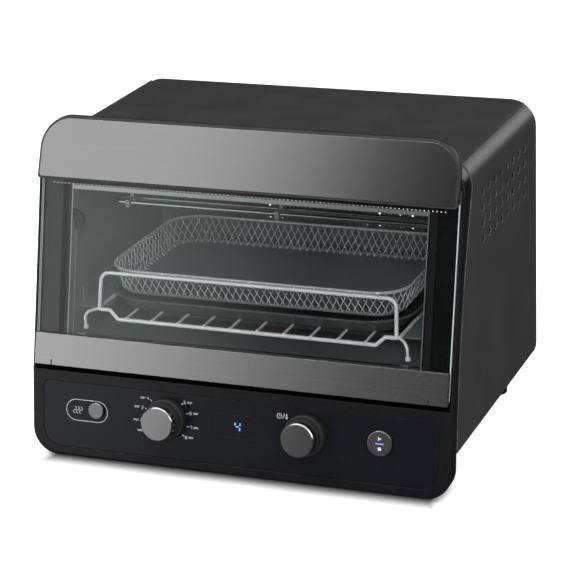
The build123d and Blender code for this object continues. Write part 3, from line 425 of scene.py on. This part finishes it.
def dress_all():
    _, face_axis = control_axis("function_knob_turn")
    dress(casing_paint(), "side_panel_left", "side_panel_right", "top_panel", "rear_panel")
    dress(fascia_plastic(), "front_frame")
    dress(panel_gloss(), "control_panel", "display_lens")
    dress(handle_plastic(), "handle_body")
    dress(front_steel("plate_steel", 0.32, 0.17), "handle_plate")
    dress(front_steel("strip_steel", 0.40, 0.27), "door_strip")
    dress(flange_steel(), "cavity_flange", "element_clips")
    dress(
        liner_steel(),
        "cavity_wall_left",
        "cavity_wall_right",
        "cavity_ceiling",
        "cavity_floor",
        "cavity_back",
        "crumb_tray",
        "rack_guide_left",
        "rack_guide_right",
    )
    dress(chrome_wire(), "wire_rack")
    dress(basket_wire(), "basket_rim")
    dress(pan_coating(), "baking_pan")
    dress(element_tube("bright_tube", (0.86, 0.855, 0.85), 1.0, 0.3), "upper_element")
    dress(
        element_tube("dark_tube", (0.12, 0.12, 0.12), 0.5, 0.6), "lower_element", "temperature_probe"
    )
    dress(door_glass(), "door_glass")
    dress(rubber(), "function_knob_skirt", "time_knob_skirt", "feet", "door_seal")
    dress(
        zinc_plate(),
        "rear_screws",
        "foot_screws",
        "door_screws",
        "base_pan",
        "door_lower_rail",
        "hinge_brackets",
        "hinge_arm_left",
        "hinge_arm_right",
        "fan_motor",
    )
    dress(
        brushed("shaft_steel", (0.6, 0.6, 0.6), 0.25, "Y"),
        "hinge_pins",
        "function_knob_shaft",
        "time_knob_shaft",
        "convection_fan",
    )
    dress(ceramic_body(), "element_terminals")
    dress(board_laminate(), "control_board", "power_board")
    dress(
        black_component(),
        "display_module",
        "rotary_encoders",
        "button_switches",
        "cord_gland",
        "door_switch_body",
        "door_switch_plunger",
    )
    for knob in ("function_knob", "time_knob"):
        centre, axis = control_axis(knob + "_turn")
        dress(turned(knob + "_metal", (0.46, 0.46, 0.465), 0.24, centre, axis), knob + "_cap")
    for button in ("steam_button", "start_button"):
        centre = button_centre(button)
        dress(turned(button + "_metal", (0.36, 0.36, 0.365), 0.32, centre, face_axis, 2e-6), button)


# ---------------------------------------------------------------- shape helpers
def add_mesh(name, vertices, faces, material, body, slot, smooth=True):
    """A new piece from points and faces; it rides on a body. Its slot argument is not used."""
    mesh = bpy.data.meshes.new(name)
    mesh.from_pydata([tuple(v) for v in vertices], [], faces)
    mesh.materials.append(material)
    mesh.polygons.foreach_set("use_smooth", [smooth] * len(mesh.polygons))
    mesh.update()
    piece = bpy.data.objects.new(name, mesh)
    bpy.context.scene.collection.objects.link(piece)
    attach(piece, body)
    return piece


class Tubes:
    """Round wires gathered into one mesh."""

    def __init__(self, sides):
        self.sides = sides
        self.vertices = []
        self.faces = []

    def add(self, points, radius):
        """Adds one slanting wire, closed off at both ends."""
        first = len(self.vertices)
        last = first + (len(points) - 1) * self.sides
        for i, point in enumerate(points):
            before = points[max(i - 1, 0)]
            after = points[min(i + 1, len(points) - 1)]
            forward = (after - before).normalized()
            side = forward.cross(Vector((0, 0, 1))).normalized()
            up = side.cross(forward)
            for k in range(self.sides):
                angle = 2 * math.pi * k / self.sides
                spoke = math.cos(angle) * side + math.sin(angle) * up
                self.vertices.append(point + radius * spoke)
        for here in range(first, last, self.sides):
            there = here + self.sides
            for k in range(self.sides):
                beside = (k + 1) % self.sides
                self.faces.append((here + beside, here + k, there + k, there + beside))
        self.faces.append(tuple(first + k for k in range(self.sides)))
        self.faces.append(tuple(last + k for k in reversed(range(self.sides))))


# ---------------------------------------------------------------- woven basket
WIRE_RADIUS = 0.47 * MM
MESH_PITCH = 7.2 * MM        # between parallel wires, measured along the rim
MESH_CLIMB = 62.0            # degrees of a wire above the horizontal, on the walls
WEAVE = 0.50 * MM            # how far a wire rises over each crossing
WIRE_STEPS = 16              # straight pieces in one wire
BASKET_FLARE = 4.5 * MM      # how far the rim stands out from the foot
BASKET_CORNER = 28.5 * MM    # corner radius at the foot
BASKET_FOOT = 3.0 * MM       # radius where wall and floor meet
WALL_INSET = 0.8 * MM        # from the CAD tub's outside to the wires' middle
WALL_LIFT = 0.6 * MM         # from the CAD tub's underside to the wires' lower ends
FLOOR_SHEET = 0.5 * MM
FLOOR_POINTS = 160           # round the floor's outline


class FootOutline:
    """Rounded rectangle of the basket's foot, walked from the left end of its front side."""

    def __init__(self, low, high):
        self.centre = (low + high) / 2
        self.half_x = (high.x - low.x) / 2 - BASKET_FLARE
        self.half_y = (high.y - low.y) / 2 - BASKET_FLARE
        self.sides = 2 * [2 * (self.half_x - BASKET_CORNER), 2 * (self.half_y - BASKET_CORNER)]
        self.arc = math.pi / 2 * BASKET_CORNER
        self.length = sum(self.sides) + 4 * self.arc

    def at(self, distance):
        """Point, from the centre, and outward direction at a distance along the outline."""
        distance %= self.length
        heading = 0.0
        start = Vector((-self.half_x + BASKET_CORNER, -self.half_y))
        for side in self.sides:
            along = Vector((math.cos(heading), math.sin(heading)))
            outward = Vector((along.y, -along.x))
            if distance <= side:
                return start + along * distance, outward
            distance -= side
            middle = start + along * side - outward * BASKET_CORNER
            turn = heading - math.pi / 2 + min(distance, self.arc) / BASKET_CORNER
            outward = Vector((math.cos(turn), math.sin(turn)))
            start = middle + outward * BASKET_CORNER
            if distance <= self.arc:
                break
            distance -= self.arc
            heading += math.pi / 2
        return start, outward

    def place(self, distance, out, height):
        """A point in space, this far outside the outline and at this height."""
        spot, outward = self.at(distance)
        spot = spot + outward * out
        return Vector((self.centre.x + spot.x, self.centre.y + spot.y, height))


def basket_walls(foot, low, high):
    """Two families of slanting wires round the wall, woven over and under each other."""
    tubes = Tubes(6)
    count = 2 * round(foot.length / MESH_PITCH / 2)
    lean = 1 / math.tan(math.radians(MESH_CLIMB))
    for family in (-1, 1):
        for wire in range(count):
            points = []
            for step in range(WIRE_STEPS + 1):
                share = step / WIRE_STEPS
                rise = (high.z - low.z) * share
                distance = foot.length * wire / count + family * rise * lean
                crossings = distance * count / foot.length * math.pi
                weave = WEAVE * math.cos(crossings) * family
                bend = min(1, rise / BASKET_FOOT) * math.pi / 2
                foot_in = BASKET_FOOT * (1 - math.sin(bend))
                out = BASKET_FLARE * share - foot_in - WALL_INSET + weave
                points.append(foot.place(distance, out, low.z + WALL_LIFT + rise))
            tubes.add(points, WIRE_RADIUS)
    return tubes.vertices, tubes.faces


def basket_floor(foot, low):
    """Smooth sheet floor, turned up a little where the wall wires meet it."""
    profile = ((5.0, 0.0), (2.4, 0.1), (1.2, 0.6), (0.7, 1.6), (0.6, 3.0))   # inset, rise in mm
    outside = [(inset * MM, rise * MM) for inset, rise in profile]
    inside = [(inset + FLOOR_SHEET, rise + FLOOR_SHEET) for inset, rise in reversed(outside)]
    vertices, faces = [], []
    for inset, rise in outside + inside:
        for i in range(FLOOR_POINTS):
            distance = foot.length * i / FLOOR_POINTS
            vertices.append(foot.place(distance, -inset, low.z + rise))
    last = len(vertices) - FLOOR_POINTS
    for here in range(0, last, FLOOR_POINTS):
        there = here + FLOOR_POINTS
        for i in range(FLOOR_POINTS):
            j = (i + 1) % FLOOR_POINTS
            faces.append((here + i, here + j, there + j, there + i))
    faces.append(tuple(range(FLOOR_POINTS))[::-1])
    faces.append(tuple(last + i for i in range(FLOOR_POINTS)))
    return vertices, faces


def woven_basket():
    """The basket's walls and floor, in place of the plain CAD tub."""
    low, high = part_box("basket_mesh")
    foot = FootOutline(low, high)
    weave = add_mesh(
        "basket_weave", *basket_walls(foot, low, high), basket_wire(), "rack", "basket_steel"
    )
    floor = add_mesh(
        "basket_floor", *basket_floor(foot, low), basket_sheet(), "rack", "basket_steel", smooth=False
    )
    for piece in (weave, floor):
        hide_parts("basket_mesh")


# ---------------------------------------------------------------- printed and lit marks
MARK_LIFT = 0.04 * MM        # the ink's middle above its face
MARK_HALF = 0.03 * MM        # half the ink's thickness
RING_STEP = 12.0             # degrees of a ring in one short bar, at most
DOTS_EACH_WAY = 49           # printed dots on the glass, left and right of the middle
DOT_PITCH = 4.0 * MM
DOT_RADIUS = 0.45 * MM
DOT_CORNERS = 12
DOT_DROP = 8.3 * MM          # from the plate's low edge down to the dots


class Marks:
    """Flat printed shapes on one leaning face, gathered into one mesh."""

    def __init__(self, origin, out, lift):
        """A face through the origin, facing out; the print lies this far above the face."""
        self.vertices = []
        self.faces = []
        self.origin = Vector((0, origin.y, origin.z))
        self.out = out
        self.right = Vector((1, 0, 0))
        self.up = out.cross(self.right)
        self.lift = lift

    def point(self, x, height, level):
        """A point from its x, its height along the face and its level above the face."""
        return self.origin + self.right * x + self.up * height + self.out * level

    def polygon(self, outline):
        """A raised flat polygon from (x, height) corners, anticlockwise seen from the front."""
        first = len(self.vertices)
        count = len(outline)
        middle = self.lift + MARK_LIFT
        for level in (middle - MARK_HALF, middle + MARK_HALF):
            self.vertices += [self.point(x, h, level) for x, h in outline]
        self.faces.append(tuple(first + i for i in reversed(range(count))))
        self.faces.append(tuple(first + count + i for i in range(count)))
        for i in range(count):
            j = (i + 1) % count
            self.faces.append((first + i, first + j, first + count + j, first + count + i))

    def bar(self, start, end, width):
        a, b = Vector(start), Vector(end)
        side = (b - a).normalized()
        side = Vector((-side.y, side.x)) * width / 2
        self.polygon([tuple(a - side), tuple(b - side), tuple(b + side), tuple(a + side)])

    def ring(self, centre, radius, width, start=0.0, sweep=360.0):
        """Part of a circle, drawn as short bars; angles in degrees from the right-hand side."""
        steps = max(6, round(abs(sweep) / RING_STEP))
        spots = []
        for i in range(steps + 1):
            angle = math.radians(start + sweep * i / steps)
            across, rise = radius * math.cos(angle), radius * math.sin(angle)
            spots.append((centre[0] + across, centre[1] + rise))
        for a, b in zip(spots, spots[1:]):
            self.bar(a, b, width)

    def piece(self, name, material, body="casing", slot="panel_gloss"):
        return add_mesh(name, self.vertices, self.faces, material, body, slot, smooth=False)


def control_face(lift):
    """Marks on the control face; heights count from the knobs' centre line."""
    origin, out = control_axis("function_knob_turn")
    return Marks(origin, out, lift)


SEGMENTS = {
    "a": ((0, 1), (1, 1)),
    "b": ((1, 1), (1, 0.5)),
    "c": ((1, 0.5), (1, 0)),
    "d": ((0, 0), (1, 0)),
    "e": ((0, 0), (0, 0.5)),
    "f": ((0, 1), (0, 0.5)),
    "g": ((0, 0.5), (1, 0.5)),
}
NUMERALS = {
    1: "bc",
    2: "abged",
    3: "abgcd",
    4: "fgbc",
    5: "afgcd",
    6: "afgedc",
    7: "abc",
    8: "abcdefg",
}


def numeral(marks, value, x, height, tall, width, line, slant=0.0):
    """A segmented digit, its lower left corner at (x, height)."""
    trim = line * 0.62
    for letter in NUMERALS[value]:
        (ax, ay), (bx, by) = SEGMENTS[letter]
        a = Vector((x + ax * width + slant * ay * tall, height + ay * tall))
        b = Vector((x + bx * width + slant * by * tall, height + by * tall))
        pull = (b - a).normalized() * trim
        marks.bar(tuple(a + pull), tuple(b - pull), line)


def function_marks(marks):
    """Ticks round the left knob, four on each side, each with a numeral and a pair of dashes."""
    tick_near, tick_far = 21.6 * MM, 24.2 * MM   # from the knob's axis
    text_gap = 1.2 * MM                          # between a tick and its numeral
    numeral_tall, numeral_wide = 3.0 * MM, 1.7 * MM
    dash_long, dash_line = 5.0 * MM, LINE * 0.8
    number = 1
    for side, angles in ((-1, (215, 190, 160, 135)), (1, (45, 18, -14, -40))):
        for degrees in angles:
            angle = math.radians(degrees)
            direction = Vector((math.cos(angle), math.sin(angle)))
            start = Vector((-KNOB_X, 0)) + direction * tick_near
            end = Vector((-KNOB_X, 0)) + direction * tick_far
            marks.bar(tuple(start), tuple(end), LINE)
            spot = end + direction * text_gap
            left = spot.x - (2.4 * MM if side < 0 else 0)
            low = spot.y - numeral_tall / 2
            numeral(marks, number, left, low, numeral_tall, numeral_wide, LINE)
            dash = left + (-7.0 * MM if side < 0 else 3.4 * MM)
            for rise in (-0.4 * MM, 0.7 * MM):
                height = spot.y + rise
                marks.bar((dash, height), (dash + dash_long, height), dash_line)
            number += 1


def steam_marks(marks, centre_x):
    """Pill-shaped outline round the steam button, with three wisps beside the button."""
    radius = 10.4 * MM
    right_x = centre_x + 0.9 * MM
    left_x = right_x - 22.903 * MM
    middle = -1.4 * MM           # a little under the knobs' centre line
    marks.ring((left_x, middle), radius, LINE, 90, 180)
    marks.ring((right_x, middle), radius, LINE, -90, 180)
    for rise in (-radius, radius):
        marks.bar((left_x, middle + rise), (right_x, middle + rise), LINE)
    bend_radius = 1.6 * MM
    for wisp in range(3):
        x = left_x - 1.5 * MM + wisp * 2 * bend_radius
        for rise, sweep in ((-bend_radius, 180), (bend_radius, -180)):
            marks.ring((x, middle + rise), bend_radius, LINE, 90, sweep)


def clock_and_thermometer(marks):
    """Small clock, slash and thermometer up beside the right knob."""
    x, height = KNOB_X - 26.5 * MM, 15.4 * MM
    marks.ring((x, height), 2.4 * MM, LINE)
    marks.bar((x, height), (x, height + 1.5 * MM), LINE)
    marks.bar((x, height), (x + 1.2 * MM, height), LINE)
    marks.bar((x + 3.4 * MM, height - 2.6 * MM), (x + 5.2 * MM, height + 2.6 * MM), LINE)
    stem_x = x + 7.2 * MM
    marks.bar((stem_x, height - 1.2 * MM), (stem_x, height + 2.4 * MM), LINE * 1.9)
    marks.ring((stem_x, height - 1.6 * MM), 0.55 * MM, LINE * 2.4)


def printed_marks():
    """All the print on the control panel."""
    marks = control_face(PANEL_FACE)
    function_marks(marks)
    steam_marks(marks, button_centre("steam_button").x)
    clock_and_thermometer(marks)
    marks.piece("panel_print", printed_ink("panel_ink", 0.40))


def display_digit():
    """One lit digit of the display, just over its lens."""
    marks = control_face(PANEL_FACE)
    tall, wide, segment = 9.6 * MM, 5.0 * MM, 1.5 * MM
    numeral(marks, 4, -0.9 * MM, -4.9 * MM, tall, wide, segment, slant=0.09)
    marks.piece("display_digit", lit_segment(), slot="display_lens")


def start_marks():
    """Lit bar on the start button, between a triangle for start and a square for stop."""
    x = button_centre("start_button").x
    light = control_face(BUTTON_FACE)
    light.bar((x - 4.2 * MM, 0), (x + 4.2 * MM, 0), 1.1 * MM)
    light.piece("start_light", lit_segment(), "start_button", "button_metal")
    symbols = control_face(BUTTON_FACE)
    triangle = [(x - 1.5 * MM, 3.0 * MM), (x + 1.9 * MM, 4.9 * MM), (x - 1.5 * MM, 6.8 * MM)]
    symbols.polygon(triangle)
    symbols.bar((x, -6.4 * MM), (x, -3.2 * MM), 3.2 * MM)
    symbols.piece("start_symbols", printed_ink("button_ink", 0.3), "start_button", "button_metal")


def glass_dots():
    """Row of small printed dots on the glass, just under the handle plate."""
    low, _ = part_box("door_glass")
    plate_low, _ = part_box("handle_plate")
    lean = math.radians(GLASS_LEAN)
    out = Vector((0, -math.cos(lean), math.sin(lean)))
    marks = Marks(low, out, 0)
    height = (plate_low.z - low.z - DOT_DROP) / math.cos(lean)
    angles = [2 * math.pi * corner / DOT_CORNERS for corner in range(DOT_CORNERS)]
    for dot in range(-DOTS_EACH_WAY, DOTS_EACH_WAY + 1):
        x = dot * DOT_PITCH
        marks.polygon(
            [(x + DOT_RADIUS * math.cos(a), height + DOT_RADIUS * math.sin(a)) for a in angles]
        )
    marks.piece("glass_dots", printed_ink("glass_ink", 0.85), "door", "door_glass")


# ---------------------------------------------------------------- studio
def studio_floor():
    """A wide pale floor, its glow and colour dimmed to a painted contact shadow under the oven's
    front edge.
    """
    shadow_deep = 20 * MM        # depth of its dark core, back from the front edge
    shadow_inset = 22 * MM       # the core ends this far inside the casing's sides
    shadow_fade = 32 * MM        # width of its soft border, ahead and behind
    side_fade = 1.6              # how much faster it fades sideways
    glow = 0.8
    half = 9.0
    look = Look("floor_paper", (0.86, 0.86, 0.86), 0.75)
    grain = look.noise(2 * MM, 2)
    split = look.add("ShaderNodeSeparateXYZ", {0: look.place})
    lip_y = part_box("front_frame")[0].y
    ahead = look.math("SUBTRACT", lip_y, split.outputs["Y"])
    behind = look.math("SUBTRACT", split.outputs["Y"], lip_y + shadow_deep)
    across = look.math("ABSOLUTE", split.outputs["X"])
    beside = look.math("SUBTRACT", across, cad_high.x - shadow_inset)
    beside = look.math("MULTIPLY", beside, side_fade)
    away = look.math("MAXIMUM", look.math("MAXIMUM", ahead, behind), beside)
    clear = look.spread(away, 0, 1, 0, shadow_fade)
    # painted shadow: the floor's glow fades out under the front edge
    look.feed(look.shader.inputs["Emission Strength"], look.math("MULTIPLY", clear, glow))
    look.shader.inputs["Emission Color"].default_value = (1, 1, 1, 1)
    # painted shadow: the floor's colour falls to dark grey under the front edge
    paper_with_painted_shadow = look.mix(clear, (0.2, 0.2, 0.2), look.shade(look.noise(0.4, 2), 0.01))
    look.finish(paper_with_painted_shadow, None, look.bump(grain, 1e-5))
    mesh = bpy.data.meshes.new("floor")
    corners = [(-half, -half, 0), (half, -half, 0), (half, half, 0), (-half, half, 0)]
    mesh.from_pydata(corners, [], [(0, 1, 2, 3)])
    mesh.materials.append(look.material)
    floor = bpy.data.objects.new("floor", mesh)
    bpy.context.scene.collection.objects.link(floor)
    floor.visible_glossy = False     # so the gloss parts mirror a dark room


def toward(azimuth, elevation):
    """Unit vector away from the oven; azimuth 0 is straight in front, positive to the right."""
    a, e = math.radians(azimuth), math.radians(elevation)
    return Vector((math.sin(a) * math.cos(e), -math.cos(a) * math.cos(e), math.sin(e)))


def aim_at_oven(thing, azimuth, elevation, distance):
    away = toward(azimuth, elevation)
    thing.location = (cad_low + cad_high) / 2 + away * distance
    thing.rotation_mode = "QUATERNION"
    thing.rotation_quaternion = (-away).to_track_quat("-Z", "Y")
    bpy.context.scene.collection.objects.link(thing)


def area_light(name, azimuth, elevation, distance, width, height, power, mirrored=True):
    """A plain rectangular softbox; without mirrored it only lights, and shows in no reflection."""
    light = bpy.data.lights.new(name, "AREA")
    light.shape = "RECTANGLE"
    light.size = width
    light.size_y = height
    light.energy = power
    lamp = bpy.data.objects.new(name, light)
    lamp.visible_glossy = mirrored
    aim_at_oven(lamp, azimuth, elevation, distance)


def glowing_card(name, azimuth, elevation, distance, width, height, strength, fade):
    """A lit card that fades smoothly to its right, for a soft reflection."""
    look = Look(name, (0, 0, 0), 1.0)
    split = look.add("ShaderNodeSeparateXYZ", {0: look.place})
    across = look.spread(split.outputs["X"], 0, 1, width / 2 - fade, width / 2)
    level = look.add(
        "ShaderNodeMapRange",
        {"Value": across, "From Min": 0.0, "From Max": 1.0, "To Min": strength, "To Max": 0.0},
        interpolation_type="SMOOTHSTEP",
    ).outputs["Result"]
    look.feed(look.shader.inputs["Emission Strength"], level)
    look.shader.inputs["Emission Color"].default_value = (1, 1, 1, 1)
    mesh = bpy.data.meshes.new(name)
    x, y = width / 2, height / 2
    mesh.from_pydata([(-x, -y, 0), (x, -y, 0), (x, y, 0), (-x, y, 0)], [], [(0, 1, 2, 3)])
    mesh.materials.append(look.material)
    card = bpy.data.objects.new(name, mesh)
    aim_at_oven(card, azimuth, elevation, distance)
    card.visible_camera = False
    return card


def only_on(card, node):
    """Lets a card be mirrored by one CAD node and by nothing else."""
    receivers = bpy.data.collections.new(card.name + "_receivers")
    receivers.objects.link(frame["nodes"][node])
    card.light_linking.receiver_collection = receivers
    card.visible_diffuse = False


def studio_lights():
    """Softboxes and a card: azimuth, elevation, distance, width, height, then watts or glow."""
    area_light("overhead", 0, 88, 2.2, 2.8, 2.8, 46)
    area_light("front_top", -28, 56, 2.2, 2.6, 0.35, 22)
    area_light("front_fill", 16, 24, 2.2, 1.2, 1.2, 60, mirrored=False)
    area_light("right_front", 66, 30, 2.2, 0.5, 1.5, 12)
    area_light("rear_right", 157, 17, 2.6, 0.5, 1.0, 4)
    glowing_card("left_card", -47, 14, 2.0, 2.36, 2.2, 1.15, 0.47)
    rear_card = glowing_card("left_rear_card", -141, -10, 2.2, 2.97, 0.94, 6.0, 0.05)
    only_on(rear_card, "front_frame")
    world = bpy.data.worlds.new("studio")
    world.use_nodes = True
    world.node_tree.nodes["Background"].inputs["Color"].default_value = (1, 1, 1, 1)
    world.node_tree.nodes["Background"].inputs["Strength"].default_value = 0.03
    bpy.context.scene.world = world


def studio_camera():
    """Long lens from the right and above, slightly rolled."""
    yaw, pitch, roll = (math.radians(angle) for angle in (21.66, 19.56, -2.33))
    distance = 2.2221
    lens = 142.2031              # mm, behind a sensor of the standard 36 mm width
    off_right, off_up = 5.87 * MM, -18.06 * MM   # how the optical axis passes the oven's middle
    level_back = Vector((math.sin(yaw), -math.cos(yaw), 0))
    back = level_back * math.cos(pitch) + Vector((0, 0, math.sin(pitch)))
    level_right = Vector((math.cos(yaw), math.sin(yaw), 0))
    level_up = back.cross(level_right)
    right = math.cos(roll) * level_right + math.sin(roll) * level_up
    up = -math.sin(roll) * level_right + math.cos(roll) * level_up
    data = bpy.data.cameras.new("camera")
    data.sensor_width = 36.0
    data.lens = lens
    data.clip_start = 0.05
    data.clip_end = 60.0
    camera = bpy.data.objects.new("camera", data)
    middle = (cad_low + cad_high) / 2
    position = middle + right * off_right + up * off_up + back * distance
    turn = Matrix((right, up, back)).transposed().to_4x4()
    camera.matrix_world = Matrix.Translation(position) @ turn
    bpy.context.scene.collection.objects.link(camera)
    bpy.context.scene.camera = camera


studio_camera()
studio_lights()
studio_floor()
dress_all()
woven_basket()
printed_marks()
display_digit()
start_marks()
glass_dots()
bpy.context.scene.view_settings.view_transform = "Standard"
